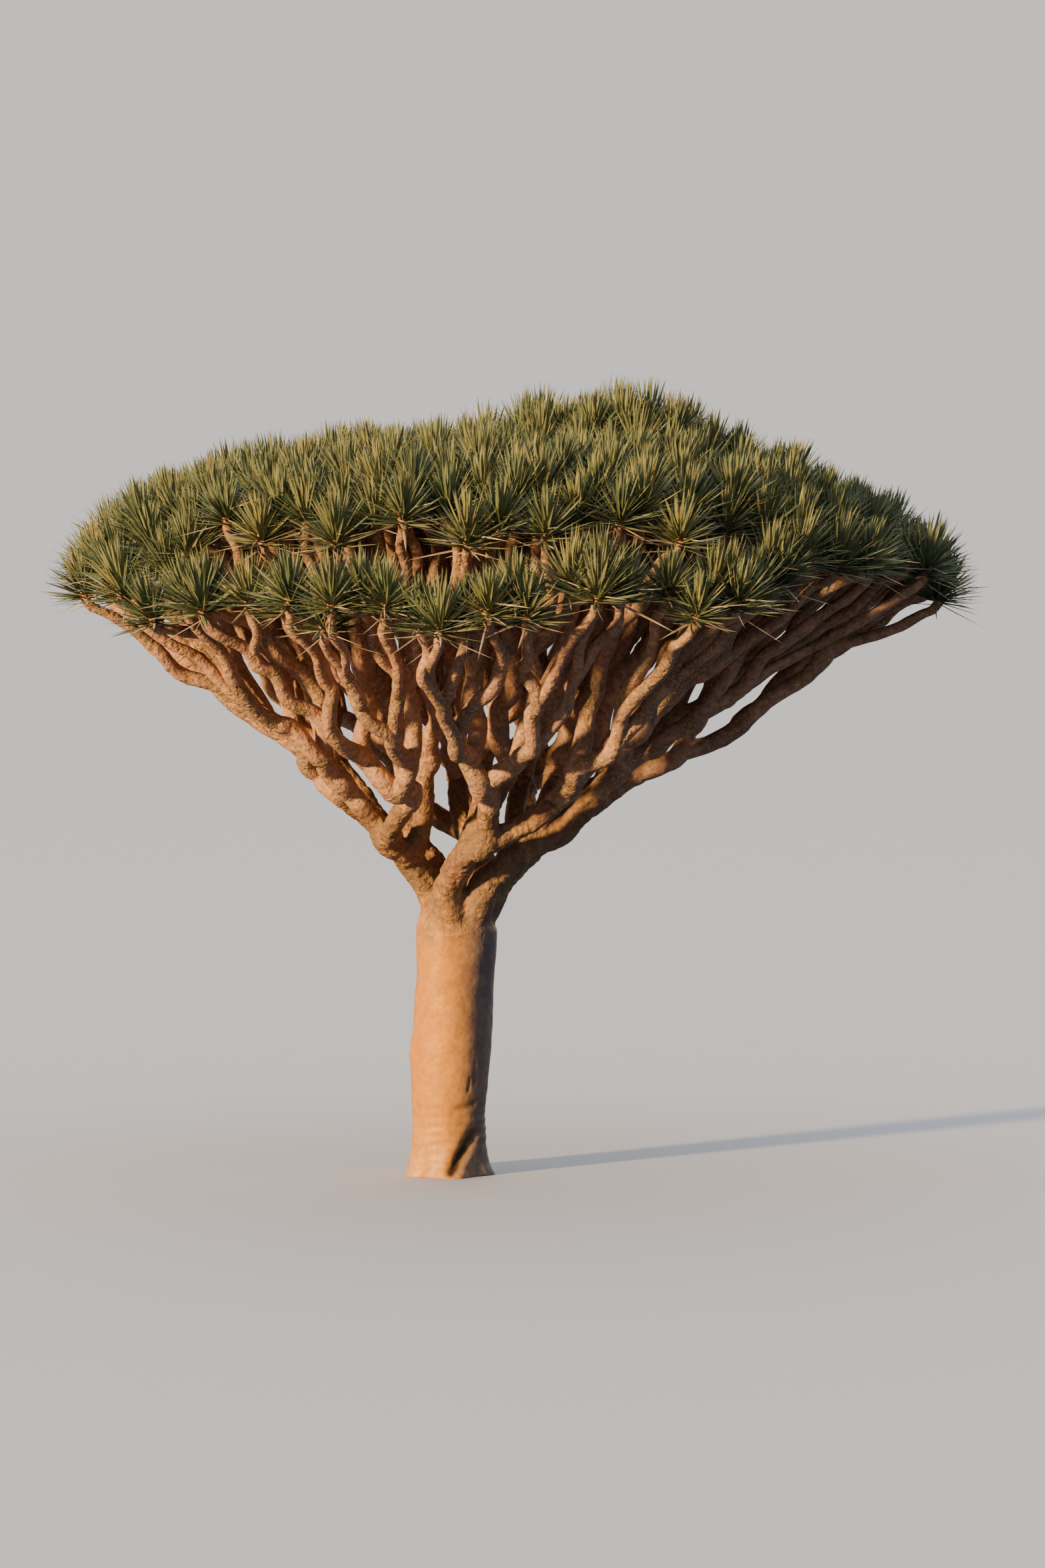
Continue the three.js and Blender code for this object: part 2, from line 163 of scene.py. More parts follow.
def domePoint(u, v):  # the foot of a rosette, for a place on the unit disc
    toRight = (u + 1) / 2
    out = min(math.hypot(u, v), 1)
    level = mix(*crown["level"], toRight) + crown["frontLevel"] * v ** 2
    dome = (1 - out ** level) ** mix(*crown["edge"], toRight)
    hump = math.exp(-(((u - crown["humpAt"]) ** 2 + v ** 2) / crown["humpSpread"]) ** crown["humpEdge"])
    corner = bell((math.degrees(math.atan2(v, u)) - crown["cornerAzimuth"]) / crown["cornerWidth"])
    rise = crown["domeRise"] * dome + crown["humpRise"] * hump
    if out >= crown["tierOuter"]:
        lowRise = crown["lowTierRise"] * (1 - out) / (1 - crown["tierOuter"])
        rise = mix(rise, lowRise, tierStrength(u, v))
    height = crown["rimHeight"] + crown["rimTilt"] * u + crown["cornerLift"] * corner * out ** 4 + rise
    reach = 1 - crown["cornerCut"] * corner * out
    x = crown["centreX"] + crown["halfWidth"] * u * reach
    return Vector((x, crown["halfDepth"] * v * reach, height))


def domePointAt(out, degrees):
    return domePoint(out * math.cos(math.radians(degrees)), out * math.sin(math.radians(degrees)))


def shareFor(rosettes):  # of the way from the fork, where a limb that carries so many forks
    return growth["forksWithin"] * (1 - math.log(rosettes) / math.log(growth["reachCount"]))


def radiusFor(rosettes):
    return growth["tipRadius"] * rosettes ** growth["thickening"]


def pointOnTheWay(middle, share, climb):
    out = share ** growth["outward"]
    height = mix(fork.z, middle.z, share ** climb)
    return Vector((mix(fork.x, middle.x, out), mix(fork.y, middle.y, out), height))


def twisted(point):  # turned round the fork, most where it is near, so that the boughs swirl out of the trunk
    offset = point - fork
    nearness = bell(math.hypot(offset.x, offset.y) / growth["twistReach"])
    return fork + Matrix.Rotation(math.radians(growth["rootTwist"]) * nearness, 3, "Z") @ offset


def bentMiddle(a, b):
    reach = (b - a).length * growth["limbBend"]
    return a.lerp(b, 0.5) + randomShift(reach, -reach, 0, limbNumbers)


def plannedMasses():
    planned = []
    spread, steep = crown["outerSpread"], crown["steepClimb"]
    for bough in boughs:
        side, azimuth, climb = bough["side"], bough["azimuth"], bough["climb"]
        for ending, ring, towards, rise in (
            ("_1", crown["outerRing"], azimuth - spread, climb),
            ("_2", crown["outerRing"], azimuth + spread, climb),
            ("_inner", crown["innerRing"], azimuth, steep),
        ):
            middle = domePointAt(ring, towards)
            planned.append({"name": side + ending, "side": side, "climb": rise, "middle": middle})
    top = domePoint(*crown["topAt"])
    planned.append({"name": "top", "side": crown["topBearer"], "climb": steep, "middle": top})
    for mass in planned:
        mass["way"] = (mass["middle"] - fork).normalized()
    return planned


masses = plannedMasses()
rosettesPerMass = growth["rosettes"] / len(masses)
for mass in masses:  # each mass keeps to the directions that are nearer to its own way than to any other's
    mass["walls"] = [(mass["way"] - other["way"]).normalized() for other in masses if other is not mass]


def roomAt(point, mass):
    return min(wall.dot(point - fork) for wall in mass["walls"])


def movedInside(point, mass, margin):
    moved = point.copy()
    for turn in range(3):
        for wall in mass["walls"]:
            short = margin - wall.dot(moved - fork)
            if short > 0:
                moved += wall * short
    return moved


# The trunk, boughs and limbs: one skin over them all, with the bark's relief
trunk = {
    "sides": 40,
    "radius": 0.302,
    "waist": 0.276,
    "flare": 0.326,
    "leanFrom": 0.09,
    "leanPower": 1.2,
    "lobes": 5,  # the flare's buttresses
    "lobeTurn": 0.7,
    "lobeDepth": 0.12,
    "lobeHeight": 0.46,
    "ridges": 3,  # a slight three-sidedness that turns as it climbs
    "ridgeDepth": 0.022,
    "ridgeTwist": 0.24,
    "ledgeFrom": 1.9,  # a ledge under the boughs, towards the front and right only
    "ledgeAt": -62,
    "ledgeDepth": 0.14,
}
trunkProfile = [  # heights and radii, from below the cut to the fork
    (-0.06, trunk["flare"] * 1.01),
    (0, trunk["flare"]),
    (0.09, mix(trunk["flare"], trunk["waist"], 0.55)),
    (0.24, mix(trunk["flare"], trunk["waist"], 0.9)),
    (0.46, trunk["waist"]),
    (0.82, trunk["radius"]),
    (1.18, trunk["radius"] + 0.002),
    (1.52, trunk["radius"] - 0.004),
    (1.79, trunk["radius"] + 0.008),
    (1.87, trunk["radius"] + 0.01),
    (1.92, trunk["radius"] + 0.004),
    (crown["forkHeight"], trunk["radius"] - 0.02),
    (crown["forkHeight"] + 0.1, 0.15),  # hidden among the boughs
]
bark = {
    "voxel": 0.014,
    "softening": (0.5, 12),  # how strongly, and how many times
    "collarSwells": (1.1, 1.22, 1.1, 1.02),  # of a bough's radius, from inside the trunk to its collar
    "swellAtForks": 1.1,
    "limbBase": 1.2,
    "limbEnd": 1.04,
    "roundness": 6,
    "steps": 8,
    "roughFrom": 1.85,  # above this height the smooth trunk turns to rough boughs
    "roughWithin": 0.4,
    "lumps": 0.016,
    "lumpsOnTrunk": 0.4,
    "lumpsPerMetre": (4.2, 9),
    "wrinkles": 0.009,
    "wrinklesOnTrunk": 0.15,
    "wrinklesPerMetre": 24,
    "rings": 0.0022,  # faint growth rings low on the trunk
    "ringsAt": 0.34,
    "ringsWithin": 0.2,
    "ringTurns": 78,
    "ringWaver": 5,
    "ringWaverPerMetre": 2.5,
    "marksBelow": 1.3,
}
# Marks on the trunk: from one point to another, how wide, how dark with painted shade in its hollow, and how
# deep, or minus how far it bulges
marks = [
    {"from": (0.03, -0.31, 0.05), "to": (0.22, -0.22, 0.33), "width": 0.05, "dark": 0.9, "depth": 0.045},
    {"from": (0.2, -0.23, 0.72), "to": (0.2, -0.23, 0.88), "width": 0.016, "dark": 0.6, "depth": 0.012},
    {"from": (0.16, -0.26, 0.66), "to": (0.17, -0.26, 0.76), "width": 0.012, "dark": 0.4, "depth": 0.008},
    {"from": (0.06, -0.29, 0.52), "to": (0.2, -0.22, 0.56), "width": 0.035, "dark": 0.4, "depth": 0.01},
    {"from": (-0.29, -0.04, 0.92), "to": (-0.28, -0.05, 1.04), "width": 0.05, "dark": 0, "depth": -0.018},
]


def plannedBough(bough):  # lines of points and radii: the bough itself, then the limbs that leave it
    side, climb = bough["side"], bough["climb"]
    carried = [mass for mass in masses if mass["side"] == side]
    outer, inner = carried[:2], carried[2:]
    toAll = middleOf([mass["middle"] for mass in carried[:3]])
    toOuter = middleOf([mass["middle"] for mass in outer])
    firstKnot = twisted(pointOnTheWay(toAll, shareFor(3 * rosettesPerMass), climb))
    secondKnot = twisted(pointOnTheWay(toOuter, shareFor(2 * rosettesPerMass), climb))
    collar = twisted(pointOnTheWay(toAll, growth["collarShare"], climb))
    thick, middling, thin = [radiusFor(count * rosettesPerMass) for count in (3, 2, 1)]
    for mass in carried:
        stemStart = pointOnTheWay(mass["middle"], shareFor(rosettesPerMass), mass["climb"])
        mass["stemStart"] = movedInside(stemStart, mass, thin + growth["spaceMargin"])
    firstBend = bentMiddle(firstKnot, secondKnot)
    secondBend = bentMiddle(secondKnot, outer[0]["stemStart"])
    inside = (fork - up * growth["collarDepth"]).lerp(collar, 0.12)
    shoulder = collar - (firstKnot - collar).normalized() * growth["collarShoulder"]
    atRoot, inTrunk, atShoulder, atCollar = bark["collarSwells"]
    swell, end = bark["swellAtForks"], thin * bark["limbEnd"]
    lines = [
        [
            (inside, thick * atRoot),
            (inside.lerp(shoulder, 0.6), thick * inTrunk),
            (shoulder, thick * atShoulder),
            (collar, thick * atCollar),
            (firstKnot, thick * swell),
            (firstBend, mix(thick, middling, 0.6)),
            (secondKnot, middling * swell),
            (secondBend, mix(middling, thin, 0.7)),
            (outer[0]["stemStart"], end),
        ]
    ]
    for mass in [outer[1]] + inner:
        knot = secondKnot if mass is outer[1] else firstKnot
        bend = bentMiddle(knot, mass["stemStart"])
        lines.append([(knot, thin * bark["limbBase"]), (bend, thin), (mass["stemStart"], end)])
    for mass, line in zip(carried, lines):
        mass["stemWay"] = (line[-1][0] - line[-2][0]).normalized()
    return lines


def tubeMesh(name, lines, roundness, steps):  # tapering tubes along smooth lines, with closed ends
    curve = bpy.data.curves.new(name, "CURVE")
    curve.dimensions = "3D"
    curve.bevel_depth = 1
    curve.bevel_resolution = roundness
    curve.resolution_u = steps
    curve.use_fill_caps = True
    for line in lines:
        spline = curve.splines.new("BEZIER")
        spline.radius_interpolation = "CARDINAL"
        spline.bezier_points.add(len(line) - 1)
        for knot, (point, radius) in zip(spline.bezier_points, line):
            knot.co = point
            knot.radius = radius
            knot.handle_left_type = knot.handle_right_type = "AUTO"
    holder = bpy.data.objects.new(name, curve)
    scene.collection.objects.link(holder)
    mesh = bpy.data.meshes.new_from_object(holder.evaluated_get(bpy.context.evaluated_depsgraph_get()))
    bpy.data.objects.remove(holder)
    bpy.data.curves.remove(curve)
    return mesh


def addTrunk(bm):  # rings bridged from below the cut to the fork
    lower = None
    for height, radius in trunkProfile:
        leaned = max(height - trunk["leanFrom"], 0) / (crown["forkHeight"] - trunk["leanFrom"])
        middle = Vector((crown["trunkLean"] * leaned ** trunk["leanPower"], 0, height))
        circle = bmesh.ops.create_circle(bm, cap_ends=False, segments=trunk["sides"], radius=radius)["verts"]
        lobed = trunk["lobeDepth"] * max(1 - height / trunk["lobeHeight"], 0) ** 2
        for vert in circle:
            angle = math.atan2(vert.co.y, vert.co.x)
            uneven = 1 + lobed * math.cos(trunk["lobes"] * angle + trunk["lobeTurn"])
            uneven += trunk["ridgeDepth"] * math.cos(trunk["ridges"] * angle + height / trunk["ridgeTwist"])
            if height > trunk["ledgeFrom"]:
                uneven -= trunk["ledgeDepth"] * max(math.cos(angle - math.radians(trunk["ledgeAt"])), 0)
            vert.co = vert.co * uneven + middle
        edges = {edge for vert in circle for edge in vert.link_edges}
        if lower:
            bmesh.ops.bridge_loops(bm, edges=list(lower | edges))
        else:
            bmesh.ops.holes_fill(bm, edges=list(edges))
        lower = edges
    bmesh.ops.holes_fill(bm, edges=list(lower))


def fusedMesh(mesh):  # one smooth skin round everything that overlaps
    holder = bpy.data.objects.new("fusing", mesh)
    scene.collection.objects.link(holder)
    remesh = holder.modifiers.new("fuse", "REMESH")
    remesh.mode = "VOXEL"
    remesh.voxel_size = bark["voxel"]
    soften = holder.modifiers.new("soften", "SMOOTH")
    soften.factor, soften.iterations = bark["softening"]
    fused = bpy.data.meshes.new_from_object(holder.evaluated_get(bpy.context.evaluated_depsgraph_get()))
    bpy.data.objects.remove(holder)
    return fused


def pushOut(bm, distanceAt):  # every vertex along its normal
    bm.normal_update()
    shifts = [vert.normal * distanceAt(vert) for vert in bm.verts]
    for vert, shift in zip(bm.verts, shifts):
        vert.co += shift


def markStrength(point, mark):  # 1 along the middle of a mark, and 0 away from it
    start, end = Vector(mark["from"]), Vector(mark["to"])
    along = clamped((point - start).dot(end - start) / (end - start).length_squared)
    return bell((point - start.lerp(end, along)).length / mark["width"])


def addRelief(bm):  # lumps and wrinkles, mostly on the boughs, and the trunk's rings and marks, with the painted shade for the marks' hollows
    paintedHollowShade = bm.verts.layers.float.new("paintedHollowShade")

    def reliefAt(vert):
        onBoughs = clamped((vert.co.z - bark["roughFrom"]) / bark["roughWithin"])
        coarse, close = bark["lumpsPerMetre"]
        lump = noise.noise(vert.co * coarse) + noise.noise(vert.co * close) / 2
        wrinkle = noise.noise(vert.co * bark["wrinklesPerMetre"])
        relief = lump * bark["lumps"] * mix(bark["lumpsOnTrunk"], 1, onBoughs)
        relief += wrinkle * bark["wrinkles"] * mix(bark["wrinklesOnTrunk"], 1, onBoughs)
        if vert.co.z < bark["marksBelow"]:
            ringed = bell((vert.co.z - bark["ringsAt"]) / bark["ringsWithin"])
            waver = bark["ringWaver"] * noise.noise(vert.co * bark["ringWaverPerMetre"])
            relief += bark["rings"] * ringed * math.sin(vert.co.z * bark["ringTurns"] + waver)
            for mark in marks:
                strength = markStrength(vert.co, mark)
                relief -= mark["depth"] * strength
                # how much painted shade darkens each mark's hollow, kept on the vertex
                vert[paintedHollowShade] = max(vert[paintedHollowShade], mark["dark"] * strength)
        return relief

    pushOut(bm, reliefAt)


def makeBark():
    lines = [line for bough in boughs for line in plannedBough(bough)]
    tubes = tubeMesh("limbs", lines, bark["roundness"], bark["steps"])
    bm = bmesh.new()
    bm.from_mesh(tubes)
    addTrunk(bm)
    bm.to_mesh(tubes)
    bm.free()
    fused = fusedMesh(tubes)
    bm = bmesh.new()
    bm.from_mesh(fused)
    addRelief(bm)
    geom = bm.verts[:] + bm.edges[:] + bm.faces[:]
    cut = bmesh.ops.bisect_plane(bm, geom=geom, plane_co=(0, 0, 0), plane_no=(0, 0, 1), clear_inner=True)
    bmesh.ops.holes_fill(bm, edges=[item for item in cut["geom_cut"] if isinstance(item, bmesh.types.BMEdge)])
    mesh = bpy.data.meshes.new("trunkAndBoughs")
    bm.to_mesh(mesh)
    bm.free()
    mesh.shade_smooth()
    woody = [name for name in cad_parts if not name.startswith("foliage")]
    return newPiece("trunkAndBoughs", mesh, "bark", *woody)


trunkAndBoughs = makeBark()
print("trunk and boughs:", len(trunkAndBoughs.data.polygons), "faces")

# The twigs of each mass, grown on from its limb by the same rule to every rosette
twig = {
    "stemInside": 0.03,  # how far a mass's stem starts inside its limb
    "stemLength": 0.09,
    "stemSwell": 1.02,
    "wander": 0.042,
    "bendEvery": 0.3,
    "swell": 1.16,
    "waist": (0.88, 1.0),
    "baseFlare": 1.25,
    "neck": 0.95,
    "turnUp": 0.16,
    "shake": 0.02,
    "roundness": 2,
    "steps": 4,
    "relief": 0.008,
    "reliefPerMetre": 17,
}


def partedOut(plain, strength):  # how far out a rosette stands, once the low tier is parted from the dome
    starts = crown["tierFrom"]
    if plain > starts:
        parted = mix(crown["tierOuter"], 1, (plain - starts) / (1 - starts))
    else:
        parted = plain * crown["tierInner"] / starts
    return mix(plain, parted, strength)


def feetOf(mass, numbers):  # a sunflower pattern over the dome, shared out by direction
    count = growth["rosettes"]
    feet = []
    for k in range(count):
        u, v = math.cos(k * goldenAngle), math.sin(k * goldenAngle)
        strength = tierStrength(u, v)
        out = partedOut(math.sqrt((k + 0.5) / count), strength)
        foot = domePoint(out * u, out * v)
        if roomAt(foot, mass) <= 0:
            continue
        foot += randomShift(growth["footStrays"], -growth["footDrops"], 0, numbers)
        if out >= crown["tierOuter"]:
            foot.z += strength * mix(-crown["tierDrops"], crown["tierClimbs"], next(numbers))
        elif out >= crown["tierInner"] - crown["edgeWidth"]:
            foot.z -= strength * crown["edgeDrops"] * next(numbers)
        feet.append(movedInside(foot, mass, growth["footMargin"]))
    return feet


def splitInTwo(points, numbers):  # on either side of the line across their longest spread
    middle = middleOf(points)
    offsets = [point - middle for point in points]
    xx = sum(offset.x ** 2 for offset in offsets)
    xy = sum(offset.x * offset.y for offset in offsets)
    yy = sum(offset.y ** 2 for offset in offsets)
    angle = 0.5 * math.atan2(2 * xy, xx - yy)
    ordered = sorted(points, key=lambda point: point.x * math.cos(angle) + point.y * math.sin(angle))
    half = round(len(points) * mix(growth["leastSplit"], 1 - growth["leastSplit"], next(numbers)))
    first = clamped(half, 1, len(points) - 1)
    return ordered[:first], ordered[first:]


def growTwigs(feet, start, startShare, mass, numbers, grown):
    line = list(start)
    carried, share = feet, startShare

    def goTo(point, radius):
        last, lastRadius = line[-1]
        bends = round((point - last).length / twig["bendEvery"])
        for bend in range(bends):
            passed = (bend + 0.5) / bends
            shift = randomShift(twig["wander"], -twig["wander"], twig["wander"], numbers)
            bent = movedInside(last.lerp(point, passed) + shift, mass, radius)
            line.append((bent, mix(lastRadius, radius, passed) * mix(*twig["waist"], next(numbers))))
        line.append((point, radius))

    while len(carried) > 1:
        count = len(carried)
        scatter = growth["forkScatter"] * next(numbers) / count
        share = max(shareFor(count) + scatter, share + growth["shortestStep"])
        knot = pointOnTheWay(middleOf(carried), share, mass["climb"])
        shake = twig["shake"] * (knot - fork).length
        knot += randomShift(shake, -shake, shake, numbers)
        radius = radiusFor(count)
        goTo(movedInside(knot, mass, radius + growth["spaceMargin"]), radius * twig["swell"])
        carried, partsOff = splitInTwo(carried, numbers)
        base = (line[-1][0], radiusFor(len(partsOff)) * twig["baseFlare"])
        growTwigs(partsOff, [base], share, mass, numbers, grown)
    foot = carried[0]
    way = (foot - line[-1][0]).normalized()
    axis = (way * growth["rosetteAlongTwig"] + up * growth["rosetteUpright"]).normalized()
    goTo(foot - axis * twig["turnUp"], growth["tipRadius"] * twig["neck"])
    line.append((foot, growth["tipRadius"]))
    grown["twigs"].append(line)
    grown["rosettes"].append({"foot": foot, "axis": axis})


def roughen(mesh):  # shallow relief, so that no twig is a clean tube
    bm = bmesh.new()
    bm.from_mesh(mesh)
    pushOut(bm, lambda vert: twig["relief"] * noise.noise(vert.co * twig["reliefPerMetre"]))
    bm.to_mesh(mesh)
    bm.free()


def makeTwigs(mass, numbers):
    grown = {"twigs": [], "rosettes": []}
    stem, way = mass["stemStart"], mass["stemWay"]
    thick = radiusFor(rosettesPerMass) * twig["stemSwell"]
    start = [(stem - way * twig["stemInside"], thick), (stem + way * twig["stemLength"], thick)]
    growTwigs(feetOf(mass, numbers), start, shareFor(rosettesPerMass), mass, numbers, grown)
    mesh = tubeMesh("twigs_" + mass["name"], grown["twigs"], twig["roundness"], twig["steps"])
    roughen(mesh)
    mesh.shade_smooth()
    mass["rosettes"] = grown["rosettes"]
    mass["twigs"] = newPiece("twigs_" + mass["name"], mesh, "bark", "foliage_" + mass["name"])


twigNumbers = repeatableNumbers(growth["seed"] + 1)
for mass in masses:
    makeTwigs(mass, twigNumbers)
print("twigs:", sum(len(mass["twigs"].data.polygons) for mass in masses), "faces,",
      sum(len(mass["rosettes"]) for mass in masses), "rosettes")

# The leaves: stiff folded blades in a spiral round each twig's end, and a few dead ones below them
livingLeaf = {
    "count": 108,
    "length": (0.31, 0.38),
    "width": 0.0275,
    "fold": 0.2,
    "arch": 0.09,
    "innermost": 3,  # degrees from the rosette's axis
    "outermost": 86,
    "crowding": 0.8,
    "sheath": 0.12,  # how far down the twig the lowest leaf sits
}
deadLeaf = {
    "count": 11,
    "length": (0.26, 0.4),
    "width": 0.018,
    "fold": 0.3,
    "arch": 0.14,
    "innermost": 72,
    "outermost": 106,
    "crowding": 1,
    "sheath": 0.17,
}
leafHabit = {
    "stations": [(0, 0.9), (0.3, 1), (0.68, 0.62)],  # the share of the length, and of the width there
    "vigour": (0.82, 1.1),  # from rosette to rosette
    "tilts": 0.08,  # radians
    "twists": 0.3,
    "widths": (0.85, 1.15),
    "arches": (0.4, 1.6),
    "rooted": 0.8,  # of the twig's radius
    "droop": 0.6,
    "curl": 0.5,
}
# Leaf colours, dealt out by rosette: from young yellow-green to old dark green, and straw for the dead ones
greens = [
    ("leafGold", (0.265, 0.245, 0.1)),
    ("leafOlive", (0.19, 0.206, 0.098)),
    ("leafGreen", (0.13, 0.166, 0.084)),
    ("leafDeepGreen", (0.085, 0.112, 0.07)),
]
straw = ("leafStraw", (0.44, 0.33, 0.22))
greenChoice = {  # in steps through the greens
    "typical": 1.35,
    "betweenRosettes": 0.35,
    "youngest": -0.4,
    "ageing": 0.9,
    "betweenLeaves": 0.6,
}


def unit(vectors):
    return vectors / np.linalg.norm(vectors, axis=1, keepdims=True)


def bladesOf(rosettes, leaf, numbers):  # a blade's points: left, keel and right at each station, then its tip
    count = leaf["count"]
    total = count * len(rosettes)
    feet = np.repeat([tuple(rosette["foot"]) for rosette in rosettes], count, axis=0)
    axes = np.repeat([tuple(rosette["axis"]) for rosette in rosettes], count, axis=0)
    order = np.tile((np.arange(count) + 0.5) / count, len(rosettes))
    spiral = np.tile(np.arange(count) * goldenAngle, len(rosettes))
    turn = spiral + np.repeat(numbers.uniform(0, 2 * math.pi, len(rosettes)), count)
    polar = np.radians(mix(leaf["innermost"], leaf["outermost"], order ** leaf["crowding"]))
    polar += numbers.normal(0, leafHabit["tilts"], total)
    turnsFrom = (0.31, 0.2, 0.93)  # any fixed direction
    acrossAxis = unit(np.cross(axes, np.tile(turnsFrom, (total, 1))))
    alongAxis = np.cross(axes, acrossAxis)
    radial = acrossAxis * np.cos(turn)[:, None] + alongAxis * np.sin(turn)[:, None]
    way = axes * np.cos(polar)[:, None] + radial * np.sin(polar)[:, None]
    side = np.cross(axes, radial)
    twist = numbers.normal(0, leafHabit["twists"], total)[:, None]
    side = side * np.cos(twist) + np.cross(way, side) * np.sin(twist)
    face = np.cross(side, way)
    vigour = np.repeat(numbers.uniform(*leafHabit["vigour"], len(rosettes)), count)
    length = (numbers.uniform(*leaf["length"], total) * vigour)[:, None]
    width = leaf["width"] * numbers.uniform(*leafHabit["widths"], total)[:, None]
    root = feet + radial * growth["tipRadius"] * leafHabit["rooted"] * np.sin(polar)[:, None]
    root = root - axes * (order * leaf["sheath"])[:, None]
    arch = leaf["arch"] * numbers.uniform(*leafHabit["arches"], total)[:, None]
    sag = np.array((0, 0, -1)) * arch * np.sin(polar)[:, None]
    bend = sag * leafHabit["droop"] - face * arch * leafHabit["curl"]

    def spine(share):
        return root + way * length * share + bend * length * share ** 2

    rows = []
    for share, wide in leafHabit["stations"]:
        half = side * width * wide / 2
        raised = face * width * wide * leaf["fold"]
        middle = spine(share)
        rows += [middle - half + raised, middle, middle + half + raised]
    rows.append(spine(1))
    return np.stack(rows, axis=1).reshape(-1, 3)


def bladeFaces(blades):  # four-sided faces up each half of a blade, and two three-sided ones at its tip
    stations = len(leafHabit["stations"])
    perBlade = 3 * stations + 1
    pattern = []
    for station in range(stations - 1):
        low = 3 * station
        pattern += [(low, low + 1, low + 4, low + 3), (low + 1, low + 2, low + 5, low + 4)]
    last = 3 * (stations - 1)
    pattern += [(last, last + 1, last + 3), (last + 1, last + 2, last + 3)]
    starts = range(0, blades * perBlade, perBlade)
    return [tuple(start + corner for corner in face) for start in starts for face in pattern]


def greensOf(count, numbers):  # the middle of a rosette is younger and paler than its outside
    oldest = len(greens) - 1
    typical = greenChoice["typical"] + numbers.normal(0, greenChoice["betweenRosettes"])
    base = clamped(typical, 0, oldest)
    age = (np.arange(count) + 0.5) / count
    shade = base + greenChoice["youngest"] + greenChoice["ageing"] * age
    shade += numbers.normal(0, greenChoice["betweenLeaves"], count)
    return np.clip(np.round(shade), 0, oldest).astype(int)


def makeLeaves(mass, numbers):
    rosettes = mass["rosettes"]
    facesPerBlade = 2 * len(leafHabit["stations"])
    vertices = [bladesOf(rosettes, leaf, numbers) for leaf in (livingLeaf, deadLeaf)]
    shades = []
    for rosette in rosettes:
        shades += list(greensOf(livingLeaf["count"], numbers))
    shades += [len(greens)] * (deadLeaf["count"] * len(rosettes))
    mesh = bpy.data.meshes.new("leaves_" + mass["name"])
    mesh.from_pydata(np.concatenate(vertices).tolist(), [], bladeFaces(len(shades)))
    mesh.polygons.foreach_set("material_index", np.repeat(shades, facesPerBlade).astype(np.int32))
    mass["leaves"] = newPiece("leaves_" + mass["name"], mesh, "foliage", "foliage_" + mass["name"])


leafNumbers = np.random.default_rng(growth["seed"])
for mass in masses:
    makeLeaves(mass, leafNumbers)
print("leaves:", sum(len(mass["leaves"].data.polygons) for mass in masses), "faces")


# Finishes
def newGroup(name, inputs, outputs):
    group = bpy.data.node_groups.new(name, "ShaderNodeTree")
    for socket, kind in inputs.items():
        group.interface.new_socket(socket, in_out="INPUT", socket_type="NodeSocket" + kind)
    for socket, kind in outputs.items():
        group.interface.new_socket(socket, in_out="OUTPUT", socket_type="NodeSocket" + kind)
    return group, group.nodes.new("NodeGroupInput"), group.nodes.new("NodeGroupOutput")


def feed(tree, socket, value):  # a link from another node's output, or a constant
    if isinstance(value, bpy.types.NodeSocket):
        tree.links.new(value, socket)
    else:
        socket.default_value = value


def addNode(tree, kind, inputs=(), **settings):
    node = tree.nodes.new(kind)
    for name, value in settings.items():
        setattr(node, name, value)
    for name, value in dict(inputs).items():
        feed(tree, node.inputs[name], value)
    return node


def mixColours(tree, factor, a, b, blend="MIX"):
    node = addNode(tree, "ShaderNodeMix", {"Factor": factor, 6: a, 7: b}, data_type="RGBA", blend_type=blend)
    return node.outputs[2]


def calculate(tree, operation, a, b):
    return addNode(tree, "ShaderNodeMath", {0: a, 1: b}, operation=operation).outputs[0]


def mapped(tree, value, fromLow, fromHigh, toLow=0.0, toHigh=1.0):
    values = {"Value": value, "From Min": fromLow, "From Max": fromHigh, "To Min": toLow, "To Max": toHigh}
    return addNode(tree, "ShaderNodeMapRange", values, interpolation_type="SMOOTHSTEP").outputs["Result"]


def noisy(tree, place, scale, detail, output="Fac"):
    values = {"Vector": place, "Scale": scale, "Detail": detail}
    return addNode(tree, "ShaderNodeTexNoise", values).outputs[output]


def greyed(tree, tone):  # a brightness as a colour
    parts = {"Red": tone, "Green": tone, "Blue": tone}
    return addNode(tree, "ShaderNodeCombineColor", parts).outputs["Color"]


def linear(part):
    return ((part / 255 + 0.055) / 1.055) ** 2.4 if part > 10 else part / 255 / 12.92


def rgb(red, green, blue):  # a colour as a screen shows it, 0 to 255
    return [linear(red), linear(green), linear(blue), 1]


